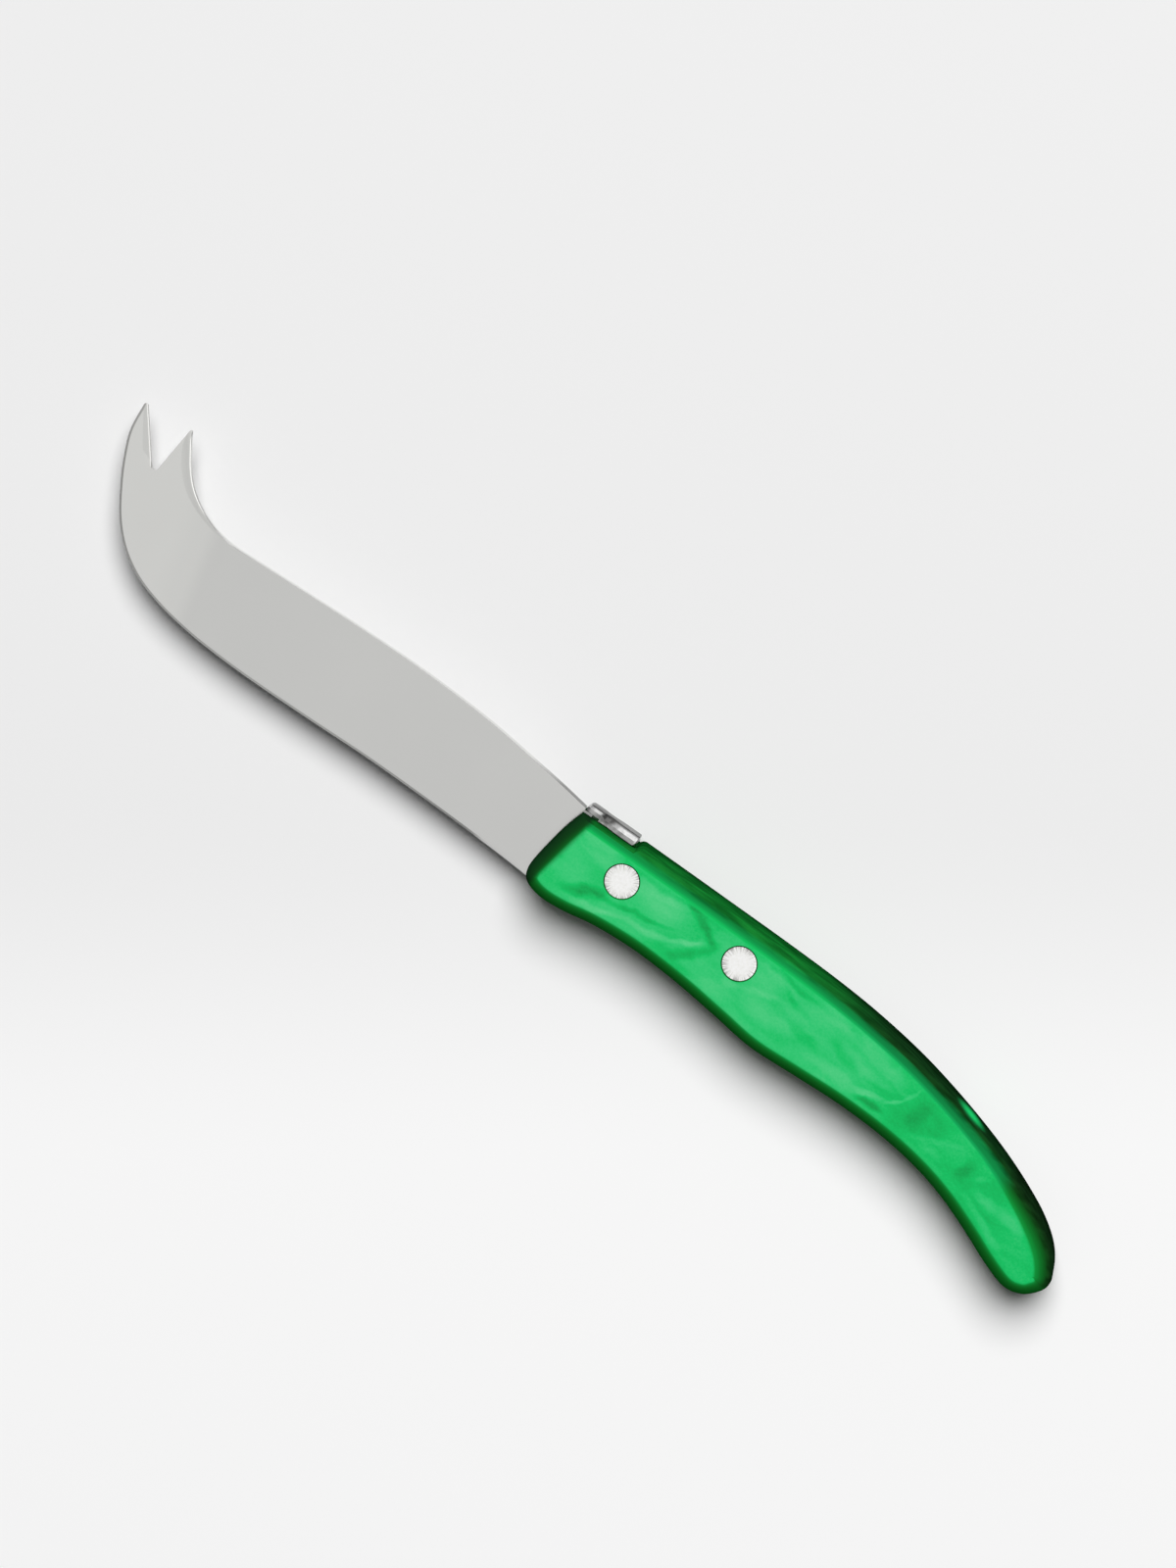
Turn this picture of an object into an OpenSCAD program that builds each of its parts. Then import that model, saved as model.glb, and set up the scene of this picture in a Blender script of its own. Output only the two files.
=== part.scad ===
/* [Blade] */
// Length of the blade in front of the handle
blade_len = 105.4; // [90:0.2:120]
// Depth of the blade from cutting edge to spine
blade_h = 19; // [17:0.25:21]
// Thickness of the blade at its spine
blade_t = 2.2; // [1.6:0.1:2.8]
// Width of the sharpened strip along the cutting edge
edge_w = 0.45; // [0.3:0.05:0.8]
// Width of the bevel that points the two prongs
prong_bevel_w = 2; // [1:0.1:2.5]

/* [Tang] */
// Depth of the tang round its rivets
tang_h = 9; // [7.5:0.25:9.5]
// Length of the tang behind the rear rivet
tang_tail = 10; // [6:0.5:20]
// How far the blade's heel is let into the handle
heel_in = 2.2; // [1.5:0.1:3]

/* [Handle] */
// Length of the handle
handle_len = 118; // [105:0.5:130]
// Depth of the handle at the front rivet
handle_h = 15.9; // [14.5:0.1:18]
// Thickness of the handle between its flat sides
handle_t = 12.5; // [10:0.25:16]
// Radius round the long edges of the handle
edge_r = 2.75; // [1:0.25:3]

/* [Fly plate] */
// Length of the plate
fly_len = 11.2; // [8:0.2:12]
// Width of the plate across the handle
fly_w = 4.2; // [3:0.1:6]
// Thickness of the plate
fly_t = 1.9; // [1:0.05:2.2]
// Height of the foot that lifts the plate off its notch
fly_lift = 0.3; // [0.2:0.05:1]
// Depth of the notch that the plate sits in
notch_depth = 1.1; // [0.8:0.05:1.5]
// Radius of the rounded corner behind the notch
notch_r = 1.3; // [0.2:0.05:1.5]

/* [Rivets] */
// Distance between the two rivets
rivet_pitch = 25.6; // [20:0.2:32]
// Distance from the front of the handle to the front rivet
front_gap = 13.6; // [11:0.2:16]
// Diameter of the rivet heads
head_d = 6.35; // [5:0.05:7]
// Thickness of the rivet heads
head_t = 1.5; // [1:0.1:2.5]
// Diameter of the tube on the lower half of a rivet
tube_d = 4.4; // [3.6:0.1:4.8]
// Diameter of the pin on the upper half of a rivet
pin_d = 3; // [2:0.1:3.2]

/* [Hidden] */

// Clearances between pieces that seat in one another
slot_gap = 0.05;
bore_gap = 0.04;
seat_gap = 0.02;
pin_gap = 0.02;
notch_gap = 0.1;
// Space left at the closed end of a rivet
end_gap = 0.5;
// Overrun of every cut
over = 1;

half_t = handle_t / 2;
facets = 64;
curve_steps = 4;
arc_steps = 6;

// Outline of the handle: shares of its length behind the front, and of its depth
// The back runs from the front to the butt and the belly comes forward again
front_top_share = [0.011, 0.405];
back_shares = [
    front_top_share, [0.08, 0.405], [0.18, 0.402], [0.28, 0.396], [0.38, 0.388],
    [0.48, 0.366], [0.56, 0.32], [0.64, 0.238], [0.71, 0.128], [0.78, -0.012],
    [0.84, -0.158], [0.895, -0.325], [0.94, -0.495], [0.975, -0.69], [0.996, -0.9]
];
butt_shares = [[1, -1.05], [0.991, -1.18], [0.972, -1.298]];
belly_shares = [
    [0.943, -1.335], [0.9, -1.235], [0.85, -1.075], [0.79, -0.905], [0.73, -0.79],
    [0.66, -0.72], [0.58, -0.7], [0.5, -0.725], [0.42, -0.75], [0.35, -0.69],
    [0.27, -0.625], [0.19, -0.598], [0.12, -0.63], [0.07, -0.695], [0.035, -0.718],
    [0.01, -0.695], [-0.007, -0.63]
];
front_shares = [[-0.0135, -0.52], [-0.0132, -0.4], [-0.01, -0.22], [-0.0035, 0.06], [0.004, 0.26]];

// Stations along the blade, from the heel to the tips of the fork
// Each has the cutting edge and the spine as shares of the blade's length and depth,
// then its thickness at the spine and over the sharpened strip, as shares of blade_t,
// then the width of the bevel on the spine side, as a share of prong_bevel_w,
// and the thickness left at the outer line of that bevel, as a share of blade_t
blade_shares = [
    [[-0.008, -0.561], [-0.008, 0.325], [1, 0.85], [0.06, 0.88]],
    [[0.045, -0.542], [0.045, 0.37], [1, 0.6], [0.06, 0.88]],
    [[0.1, -0.528], [0.1, 0.408], [0.96, 0.42], [0.06, 0.84]],
    [[0.21, -0.512], [0.21, 0.476], [0.88, 0.32], [0.06, 0.76]],
    [[0.345, -0.506], [0.345, 0.507], [0.8, 0.29], [0.06, 0.68]],
    [[0.475, -0.525], [0.475, 0.497], [0.74, 0.28], [0.06, 0.62]],
    [[0.597, -0.535], [0.6, 0.47], [0.7, 0.27], [0.06, 0.58]],
    [[0.684, -0.52], [0.695, 0.446], [0.68, 0.27], [0.06, 0.56]],
    [[0.741, -0.489], [0.738, 0.439], [0.67, 0.27], [0.06, 0.55]],
    [[0.792, -0.438], [0.77, 0.461], [0.62, 0.27], [0.2, 0.48]],
    [[0.843, -0.348], [0.8, 0.513], [0.58, 0.27], [0.4, 0.38]],
    [[0.888, -0.197], [0.828, 0.592], [0.54, 0.27], [0.62, 0.3]],
    [[0.926, 0.02], [0.852, 0.695], [0.5, 0.27], [0.82, 0.24]],
    [[0.958, 0.302], [0.873, 0.83], [0.46, 0.27], [0.95, 0.2]],
    [[0.981, 0.56], [0.889, 0.965], [0.42, 0.27], [0.9, 0.17]],
    [[0.996, 0.8], [0.899, 1.05], [0.38, 0.26], [0.6, 0.15]],
    [[1, 1.06], [0.905, 1.115], [0.34, 0.24], [0.3, 0.15]]
];
rim_share = 0.07;
// Points of the fork's notch, as shares of the blade's length and depth
// Each wall runs from a foot to a tip
outer_wall_share = [[0.928, 0.6], [0.991, 1.066]];
inner_wall_share = [[0.9195, 0.604], [0.91, 1.09]];
// Bevel on the notch side of the outer prong: its width, how far it takes to run out
// at the foot, and the blade's thickness at its two lines, as shares of blade_t
notch_bevel_w = 1;
notch_run = 1.5;
notch_face_share = 0.36;
notch_rim_share = 0.14;

// Half outline of the fly plate: shares of its length and of its half width
fly_shares = [
    [0, 0], [0.012, 0.42], [0.06, 0.8], [0.15, 0.98], [0.25, 0.97], [0.34, 0.84],
    [0.42, 0.78], [0.5, 0.86], [0.58, 0.97], [0.68, 1], [0.84, 1], [0.95, 0.98],
    [0.985, 0.88], [1, 0.65], [1, 0]
];
// Bevel round the upper edge of the plate, and how far its foot stays back from its ends
fly_bevel = 0.3;
foot_inset = 1.6;
// Depth of the centre of the round behind the notch, as a share of its radius
round_sink_share = 0.95;

// Splines through hand-chosen points
function spline_at(p, i, t) =
    let (a = p[max(i - 1, 0)], b = p[i], c = p[i + 1], d = p[min(i + 2, len(p) - 1)])
    (2 * b + (c - a) * t + (2 * a - 5 * b + 4 * c - d) * t * t
        + (3 * b - a - 3 * c + d) * t * t * t) / 2;
function spline(p, steps) = [
    for (i = [0 : len(p) - 2], k = [0 : steps - 1]) spline_at(p, i, k / steps),
    p[len(p) - 1]
];
function unit(v) = v / norm(v);
function left_of(v) = [-v.y, v.x];

// Places along the handle and the blade, from the front rivet
function handle_at(share) = [share.x * handle_len - front_gap, share.y * handle_h];
function blade_at(share) = [-share.x * blade_len - front_gap, share.y * blade_h];

handle_line = [for (s = spline(concat(back_shares, butt_shares, belly_shares, front_shares), curve_steps)) handle_at(s)];
back_y = handle_at(front_top_share).y;
front_x = handle_at(front_top_share).x;
notch_y = back_y - notch_depth;
heel_x = front_x + heel_in;
heel_low = blade_at(blade_shares[0][0]).y;
heel_face_x = blade_at(blade_shares[0][0]).x;
fly_x = heel_face_x + notch_gap;
notch_x = fly_x + fly_len + notch_gap;
fly_y = notch_y + fly_lift;
tang_t = blade_t - 2 * slot_gap;
tang_x = rivet_pitch + tang_tail - tang_h / 2;
step_x = notch_x - notch_depth;

// Corner inset of a closed outline by d, mitred so that each side moves by d
function inset_point(line, i, d) =
    let (
        n = len(line),
        a = left_of(unit(line[i] - line[(i + n - 1) % n])),
        b = left_of(unit(line[(i + 1) % n] - line[i]))
    )
    line[i] - d * (a + b) / (1 + a * b);

// Triangles that close a ring of n points, as a strip from its first point to its middle
function cap_strip(n) = [
    for (i = [0 : ceil(n / 2) - 2]) each concat(
        [[i, i + 1, n - 1 - i]],
        i + 1 < n - 2 - i ? [[i + 1, n - 2 - i, n - 1 - i]] : []
    )
];

// Solid from a stack of rings, which run clockwise seen from the last one
module stack(rings) {
    n = len(rings[0]);
    top = len(rings) - 1;
    points = [for (ring = rings) each ring];
    lower = [for (t = cap_strip(n)) [t[2], t[1], t[0]]];
    upper = [for (t = cap_strip(n)) [for (i = t) top * n + i]];
    sides = [
        for (k = [0 : top - 1], i = [0 : n - 1])
            let (j = (i + 1) % n, a = k * n + i, b = k * n + j)
            each [[a, b, a + n], [b, b + n, a + n]]
    ];
    polyhedron(points, concat(lower, sides, upper));
}

// Rounded slab of the handle, before anything is cut into it
// Its stack runs past both flat sides, which are then cut to the handle's thickness
module handle_slab() {
    angles = [for (k = [0 : arc_steps]) 90 * k / arc_steps];
    layers = concat(
        [[edge_r, -half_t - over]],
        [for (a = angles) [edge_r * (1 - sin(a)), edge_r * (1 - cos(a)) - half_t]],
        [for (k = [arc_steps : -1 : 0]) [edge_r * (1 - sin(angles[k])), half_t - edge_r * (1 - cos(angles[k]))]],
        [[edge_r, half_t + over]]
    );
    intersection() {
        stack([
            for (layer = layers)
                [for (i = [0 : len(handle_line) - 1]) [each inset_point(handle_line, i, layer[0]), layer[1]]]
        ]);
        cube([2 * handle_len, 2 * handle_len, handle_t], center = true);
    }
}

// Side outline of the heel and the tang behind a front line, let out by grow
module tang_outline(front, heel_y, seat_y, grow) {
    low = -tang_h / 2 - grow;
    high = tang_h / 2 + grow;
    polygon([
        [front, heel_y], [heel_x + grow, heel_y], [heel_x + grow, low], [tang_x, low],
        [tang_x, high], [step_x + grow, high], [step_x + grow, seat_y], [front, seat_y]
    ]);
    translate([tang_x, 0]) circle(r = high, $fn = facets);
}

// Slot for the tang, open at the front and through the floor of the notch
module slot() {
    linear_extrude(blade_t + 2 * slot_gap, center = true)
        tang_outline(front_x - front_gap, heel_low - slot_gap, notch_y + over, slot_gap);
}

module at_rivets() {
    for (x = [0, rivet_pitch]) translate([x, 0, 0]) children();
}

// Through bore with a recess for a head at each side
module rivet_bore() {
    cylinder(h = handle_t + 2 * over, d = tube_d + 2 * bore_gap, center = true, $fn = facets);
    for (side = [0, 1]) mirror([0, 0, side])
        translate([0, 0, half_t - head_t]) cylinder(h = head_t + over, d = head_d + 2 * bore_gap, $fn = facets);
}

// Notch for the plate, with the corner behind it rounded over
// The round stands a little proud of the back, so that it meets the back at an angle
module notch() {
    width = notch_x - front_x + front_gap;
    round_y = back_y - notch_r * round_sink_share;
    linear_extrude(handle_t + 2 * over, center = true) difference() {
        translate([notch_x - width, notch_y]) square([width + notch_r, notch_depth + over]);
        translate([notch_x + notch_r, round_y]) circle(r = notch_r, $fn = facets);
        translate([notch_x, notch_y - over]) square([2 * notch_r, over + round_y - notch_y]);
    }
}

module handle_piece() {
    difference() {
        handle_slab();
        notch();
        slot();
        at_rivets() rivet_bore();
    }
}

// One cross-section of the blade, as a ring of eight points
function blade_ring(row) =
    let (
        e = blade_at(row[0]),
        s = blade_at(row[1]),
        in = unit(s - e),
        strip = e + in * edge_w,
        bevel = s - in * prong_bevel_w * row[3][0],
        half = blade_t / 2
    )
    [
        [e.x, e.y, -rim_share * half], [strip.x, strip.y, -row[2][1] * half],
        [bevel.x, bevel.y, -row[2][0] * half], [s.x, s.y, -row[3][1] * half],
        [s.x, s.y, row[3][1] * half], [bevel.x, bevel.y, row[2][0] * half],
        [strip.x, strip.y, row[2][1] * half], [e.x, e.y, rim_share * half]
    ];

module blade_body() {
    stack([for (row = spline(blade_shares, curve_steps)) blade_ring(row)]);
}

// Notch between the prongs, with a blunt foot
module fork_notch() {
    outer = [for (s = outer_wall_share) blade_at(s)];
    inner = [for (s = inner_wall_share) blade_at(s)];
    linear_extrude(blade_t + 2 * over, center = true)
        polygon([outer[0], inner[0], 2 * inner[1] - inner[0], 2 * outer[1] - outer[0]]);
}

// Bevel along the notch side of the outer prong, one cut for each face
module prong_bevel() {
    foot = blade_at(outer_wall_share[0]);
    wall = blade_at(outer_wall_share[1]) - foot;
    past_tip = 2 * norm(wall);
    slope = atan(blade_t * (notch_face_share - notch_rim_share) / 2 / notch_bevel_w);
    for (side = [0, 1]) mirror([0, 0, side])
        translate([foot.x, foot.y, blade_t * notch_rim_share / 2])
            rotate([0, 0, atan2(wall.y, wall.x)]) rotate([slope, 0, 0])
                linear_extrude(blade_t) polygon([
                    [0, -over], [past_tip, -over], [past_tip, blade_h],
                    [notch_run, blade_h], [notch_run, notch_bevel_w], [0, 0]
                ]);
}

module blade_piece() {
    difference() {
        union() {
            blade_body();
            linear_extrude(tang_t, center = true)
                tang_outline(heel_face_x - edge_w, heel_low + edge_w, notch_y, 0);
        }
        fork_notch();
        prong_bevel();
        at_rivets() cylinder(h = blade_t + 2 * over, d = tube_d + 2 * bore_gap, center = true, $fn = facets);
    }
}

module fly_outline(inset) {
    half = [for (s = spline(fly_shares, curve_steps)) [s.x * (fly_len - 2 * inset) + inset, s.y * (fly_w / 2 - inset)]];
    back = [for (i = [len(half) - 2 : -1 : 1]) [half[i].x, -half[i].y]];
    polygon(concat(half, back));
}

// Waisted plate with a bevelled upper edge, on a narrow foot
module fly_piece() {
    translate([fly_x, fly_y, 0]) rotate([-90, 0, 0]) {
        linear_extrude(fly_t - fly_bevel) fly_outline(0);
        linear_extrude(fly_t) fly_outline(fly_bevel);
        translate([foot_inset, -tang_t / 2, seat_gap - fly_lift])
            cube([fly_len - 2 * foot_inset, tang_t, fly_lift]);
    }
}

// Upper half of a rivet: a head with a solid pin
module pin_half() {
    translate([0, 0, half_t - head_t]) cylinder(h = head_t, d = head_d, $fn = facets);
    translate([0, 0, end_gap + head_t - half_t]) cylinder(h = handle_t - 2 * head_t - end_gap, d = pin_d, $fn = facets);
}

// Lower half of a rivet: a head with a tube that the pin is pressed into
module tube_half() {
    difference() {
        union() {
            translate([0, 0, -half_t]) cylinder(h = head_t, d = head_d, $fn = facets);
            translate([0, 0, head_t - half_t]) cylinder(h = handle_t - 2 * head_t - end_gap, d = tube_d, $fn = facets);
        }
        translate([0, 0, head_t - half_t]) cylinder(h = handle_t, d = pin_d + 2 * pin_gap, $fn = facets);
    }
}

// The knife lies on its side, centred on its own outline
fork_line = [for (row = spline(blade_shares, curve_steps), k = [0, 1]) blade_at(row[k])];
all_points = concat(handle_line, fork_line);
xs = [for (p = all_points) p.x];
ys = [for (p = all_points) p.y];
middle = [(min(xs) + max(xs)) / 2, (min(ys) + max(ys)) / 2];

module placed() {
    translate([-middle.x, -middle.y, half_t]) children();
}

module handle() {
    color("mediumseagreen") placed() handle_piece();
}
module blade() {
    color("silver") placed() blade_piece();
}
module fly_plate() {
    color("gray") placed() fly_piece();
}
module rivet_front_pin() {
    color("gainsboro") placed() pin_half();
}
module rivet_front_tube() {
    color("gainsboro") placed() tube_half();
}
module rivet_rear_pin() {
    color("gainsboro") placed() translate([rivet_pitch, 0, 0]) pin_half();
}
module rivet_rear_tube() {
    color("gainsboro") placed() translate([rivet_pitch, 0, 0]) tube_half();
}

handle();
blade();
fly_plate();
rivet_front_pin();
rivet_front_tube();
rivet_rear_pin();
rivet_rear_tube();
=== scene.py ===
# %% [markdown]
# # A cheese knife with a marbled green handle
# The knife lies on its side on a pale floor. It has a steel blade whose end turns up into a
# small fork, a handle of pearly acrylic, a waisted plate on its back and two flush rivets.
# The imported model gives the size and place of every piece. This script keeps both and makes
# each piece again with finer curves, softened edges and the finish of the real material.

# %% The frame
import math

import bmesh
import bpy
from mathutils import Matrix, Vector
from mathutils.geometry import intersect_line_line_2d


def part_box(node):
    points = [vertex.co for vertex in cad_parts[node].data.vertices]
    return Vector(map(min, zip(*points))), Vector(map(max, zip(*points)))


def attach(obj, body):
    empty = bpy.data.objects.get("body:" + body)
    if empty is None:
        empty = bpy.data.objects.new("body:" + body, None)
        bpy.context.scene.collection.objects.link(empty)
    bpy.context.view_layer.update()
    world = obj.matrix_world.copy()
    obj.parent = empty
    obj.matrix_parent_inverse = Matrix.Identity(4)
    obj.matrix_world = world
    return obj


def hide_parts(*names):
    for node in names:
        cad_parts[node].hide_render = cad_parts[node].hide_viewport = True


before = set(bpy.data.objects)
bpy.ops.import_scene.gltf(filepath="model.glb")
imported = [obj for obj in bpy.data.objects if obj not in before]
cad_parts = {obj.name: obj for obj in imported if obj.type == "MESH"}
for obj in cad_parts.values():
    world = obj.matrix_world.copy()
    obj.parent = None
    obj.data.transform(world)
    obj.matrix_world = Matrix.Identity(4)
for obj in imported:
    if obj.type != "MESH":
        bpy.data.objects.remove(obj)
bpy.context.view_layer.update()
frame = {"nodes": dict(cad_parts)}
MM = 0.001
print("packed nodes:", ", ".join(frame["nodes"]))

# %% [markdown]
# ## One ruler for all pieces
# A cutler measures a knife from its rivets, so the pieces are drawn in millimetres from the
# front rivet: X towards the butt, Y towards the spine and Z up through the flat sides, with
# zero in the middle of the blade. One matrix then carries each finished piece into the frame.

# %% Sizes that the frame gives
def box_middle(node):
    low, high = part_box(node)
    return (Vector(low) + Vector(high)) / 2


def box_size(node):
    low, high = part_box(node)
    return (Vector(high) - Vector(low)) / MM


front_rivet = box_middle("rivet_front_pin")
rear_rivet = box_middle("rivet_rear_pin")
middle = Vector((front_rivet.x, front_rivet.y, box_middle("handle").z))
TO_FRAME = Matrix.Translation(middle) @ Matrix.Scale(MM, 4)

RIVET_PITCH = (rear_rivet.x - front_rivet.x) / MM
HALF_T = box_size("handle").z / 2
BLADE_T = box_size("blade").z
HEAD_R = box_size("rivet_front_pin").x / 2
FLY_LEN, FLY_W = box_size("fly_plate").x, box_size("fly_plate").z
print(f"rivets {RIVET_PITCH:.2f} mm apart, with heads of {2 * HEAD_R:.2f} mm")
print(f"handle {2 * HALF_T:.2f} mm thick, blade {BLADE_T:.2f} mm thick")

# %% [markdown]
# The other sizes are those that a maker would have on the drawing: the lengths and depths of
# handle and blade, and the small gaps in which one piece sits in another.

# %% Sizes from the drawing, in millimetres
HANDLE_LEN, HANDLE_H, EDGE_R = 118.0, 15.9, 2.75
BLADE_LEN, BLADE_H = 105.4, 19.0
# From the front rivet to where handle and blade meet
FRONT_GAP = 13.6
# The tang: its depth, how far it goes on behind the rear rivet, how far the heel goes in
TANG_H, TANG_TAIL, HEEL_IN = 9.0, 10.0, 2.2
NOTCH_DEPTH, NOTCH_R = 1.1, 2.0
# The rivets: the thickness of a head, and the radii of tube and pin
HEAD_T, TUBE_R, PIN_R = 1.5, 2.2, 1.5
# The gaps round the tang and the tubes, under the plate's foot, round the plate in its notch,
# round the pin in its tube and past the ends of both
SLOT_GAP, BORE_GAP, SEAT_GAP, NOTCH_GAP, PIN_GAP, END_GAP = 0.05, 0.04, 0.02, 0.1, 0.02, 0.5
# Every cutting tool reaches past the piece by this much
OVER = 1.0


def on_handle(share):
    """A place given as shares of the handle's length and depth."""
    return Vector((share[0] * HANDLE_LEN - FRONT_GAP, share[1] * HANDLE_H))


def on_blade(share):
    """A place given as shares of the blade's length and depth."""
    return Vector((-share[0] * BLADE_LEN - FRONT_GAP, share[1] * BLADE_H))


# %% [markdown]
# ## Helpers for smooth outlines and solid pieces
# A draughtsman lays a bent spline through a few points, and strikes the rest with a compass.
# Here a Catmull-Rom curve and an arc do the same. An outline becomes a solid by extruding one
# face through a row of rings, and a turned piece comes from half a section that spins.

# %% Smooth lines and arcs
# Steps from one given point to the next, on long outlines and on short ones
SMOOTH_STEPS, SHORT_STEPS = 10, 6


def smooth_line(points, steps=SMOOTH_STEPS):
    last = len(points) - 1
    line = []
    for i in range(last):
        a, b, c, d = (points[max(i - 1, 0)], points[i], points[i + 1], points[min(i + 2, last)])
        for t in (k / steps for k in range(steps)):
            line.append((2 * b + (c - a) * t + (2 * a - 5 * b + 4 * c - d) * t ** 2
                         + (3 * b - a - 3 * c + d) * t ** 3) / 2)
    return line + [points[last]]


def arc(centre, radius, first, last, steps):
    """Points round a centre, from a first to a last angle in radians."""
    angles = [first + (last - first) * k / steps for k in range(steps + 1)]
    return [Vector(centre) + radius * Vector((math.cos(a), math.sin(a))) for a in angles]


# %% Solids that grow from a face
# Points that lie nearer than this, in mm, become one
WELD = 0.0005


def clean(bm):
    bmesh.ops.remove_doubles(bm, verts=bm.verts, dist=WELD)
    bmesh.ops.dissolve_degenerate(bm, edges=bm.edges, dist=WELD)


def stack(rings):
    """A solid with the rings as its cross-sections, each one extruded from the last."""
    bm = bmesh.new()
    verts = [bm.verts.new(p) for p in rings[0]]
    face = bm.faces.new(verts)
    for step, ring in enumerate(rings[1:]):
        grown = bmesh.ops.extrude_face_region(bm, geom=[face])["geom"]
        if step:
            bmesh.ops.delete(bm, geom=[face], context="FACES_ONLY")
        face = next(g for g in grown if isinstance(g, bmesh.types.BMFace))
        new = set(face.verts)
        verts = [next(e.other_vert(v) for e in v.link_edges if e.other_vert(v) in new) for v in verts]
        for vert, place in zip(verts, ring):
            vert.co = place
    clean(bm)
    bmesh.ops.recalc_face_normals(bm, faces=bm.faces)
    return bm


def layer(outline, height):
    return [(p[0], p[1], height) for p in outline]


def prism(outline, low, high):
    return stack([layer(outline, low), layer(outline, high)])


def block(low, high):
    """A box between two opposite corners."""
    low, high = Vector(low), Vector(high)
    bm = bmesh.new()
    bmesh.ops.create_cube(bm, size=1.0)
    bmesh.ops.scale(bm, vec=high - low, verts=bm.verts)
    bmesh.ops.translate(bm, vec=(low + high) / 2, verts=bm.verts)
    return bm


# %% An outline moved inward
def moved_in(line, far, factors=None):
    """The line with each side moved in by far, or by far times the factor of its point."""
    n = len(line)
    factors = factors or [1] * n
    moved = []
    for i, place in enumerate(line):
        a = (place - line[i - 1]).normalized()
        b = (line[(i + 1) % n] - place).normalized()
        moved.append(place + far * factors[i] * Vector((a.y + b.y, -a.x - b.x)) / (1 + a.dot(b)))
    return unfolded(line, moved) if far else moved


# A loop is never longer than one of this many parts of the line
LOOP_PARTS = 6


def unfolded(line, moved):
    """Where a tight corner of the moved line folds over, it closes to a point."""
    n = len(line)
    # A loop, where the line crosses itself
    for i in range(n):
        for j in range(i + n // LOOP_PARTS, i + 1, -1):
            hit = intersect_line_line_2d(moved[i], moved[(i + 1) % n], moved[j % n], moved[(j + 1) % n])
            if hit:
                for k in range(i + 1, j + 1):
                    moved[k % n] = hit
                break
    # A side that now runs backward
    for i in range(n):
        if (moved[i] - moved[i - 1]).dot(line[i] - line[i - 1]) < 0:
            moved[i] = moved[i - 1]
    return moved


# %% Turned pieces
TURN_STEPS = 96


def turned(section, x=0):
    """The section, as pairs of radius and height, spins round an upright axis at x."""
    bm = bmesh.new()
    verts = [bm.verts.new((radius, 0, height)) for radius, height in section]
    edges = [bm.edges.new(pair) for pair in zip(verts, verts[1:])]
    bmesh.ops.spin(bm, geom=verts + edges, cent=(0, 0, 0), axis=(0, 0, 1), angle=math.tau,
                   steps=TURN_STEPS, use_merge=True)
    bmesh.ops.remove_doubles(bm, verts=bm.verts, dist=WELD)
    bmesh.ops.recalc_face_normals(bm, faces=bm.faces)
    bmesh.ops.translate(bm, vec=(x, 0, 0), verts=bm.verts)
    return bm


# %% [markdown]
# A cut works as it does in a workshop: a tool of the right shape is laid into the piece and
# what it covers is taken away. The Boolean modifier does that, and its result is kept as the
# mesh, so that no modifier is left on the piece.

# %% Objects, cuts and joins
def rough(name, bm):
    mesh = bpy.data.meshes.new(name)
    bm.to_mesh(mesh)
    bm.free()
    piece = bpy.data.objects.new(name, mesh)
    bpy.context.scene.collection.objects.link(piece)
    return piece


def work(piece, tool, operation="DIFFERENCE"):
    step = piece.modifiers.new(operation.lower(), "BOOLEAN")
    step.object, step.operation, step.solver = tool, operation, "EXACT"
    bpy.context.view_layer.update()
    seen = piece.evaluated_get(bpy.context.evaluated_depsgraph_get())
    mesh = bpy.data.meshes.new_from_object(seen)
    piece.modifiers.clear()
    piece.data = mesh
    bpy.data.objects.remove(tool, do_unlink=True)


# %% [markdown]
# A finished piece is moved into the frame, gets smooth shading that breaks at its real
# edges, rides on a body and gets its finish, and the imported node that it stands in for is
# hidden.

# %% Finishing a piece
def finish(piece, node, material, sharp=30.0):
    """sharp is the angle in degrees from which an edge counts as a real one."""
    mesh = piece.data
    bm = bmesh.new()
    bm.from_mesh(mesh)
    clean(bm)
    bm.to_mesh(mesh)
    bm.free()
    mesh.transform(TO_FRAME)
    mesh.shade_smooth()
    mesh.set_sharp_from_angle(angle=math.radians(sharp))
    mesh.materials.clear()
    mesh.materials.append(material)
    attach(piece, "root")
    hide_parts(node)
    size = " x ".join(f"{d / MM:.1f}" for d in piece.dimensions)
    print(f"{piece.name}: {len(mesh.polygons)} faces, {size} mm")


# %% [markdown]
# ## Colours and nodes
# Colours are written as the eye reads them on a screen, in hex. Shaders count light, so one
# function turns them to linear values. One more adds a node with its settings and links.

# %% Helpers for colours and nodes
def colour(code):
    parts = [int(code[i:i + 2], 16) / 255 for i in (1, 3, 5)]
    return [p / 12.92 if p <= 0.04045 else ((p + 0.055) / 1.055) ** 2.4 for p in parts] + [1.0]


def add(tree, kind, links=None, stops=None, **settings):
    made = tree.nodes.new(kind)
    for name, value in settings.items():
        setattr(made, name, value)
    for name, value in (links or {}).items():
        if isinstance(value, bpy.types.NodeSocket):
            tree.links.new(value, made.inputs[name])
        else:
            made.inputs[name].default_value = value
    if stops:
        ramp = made.color_ramp
        while len(ramp.elements) < len(stops):
            ramp.elements.new(1.0)
        for element, (place, shade) in zip(ramp.elements, stops):
            element.position = place
            element.color = colour(shade) if isinstance(shade, str) else [shade] * 3 + [1.0]
    return made


def new_material(name):
    material = bpy.data.materials.new(name)
    material.use_nodes = True
    material.node_tree.nodes.clear()
    return material, material.node_tree
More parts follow.
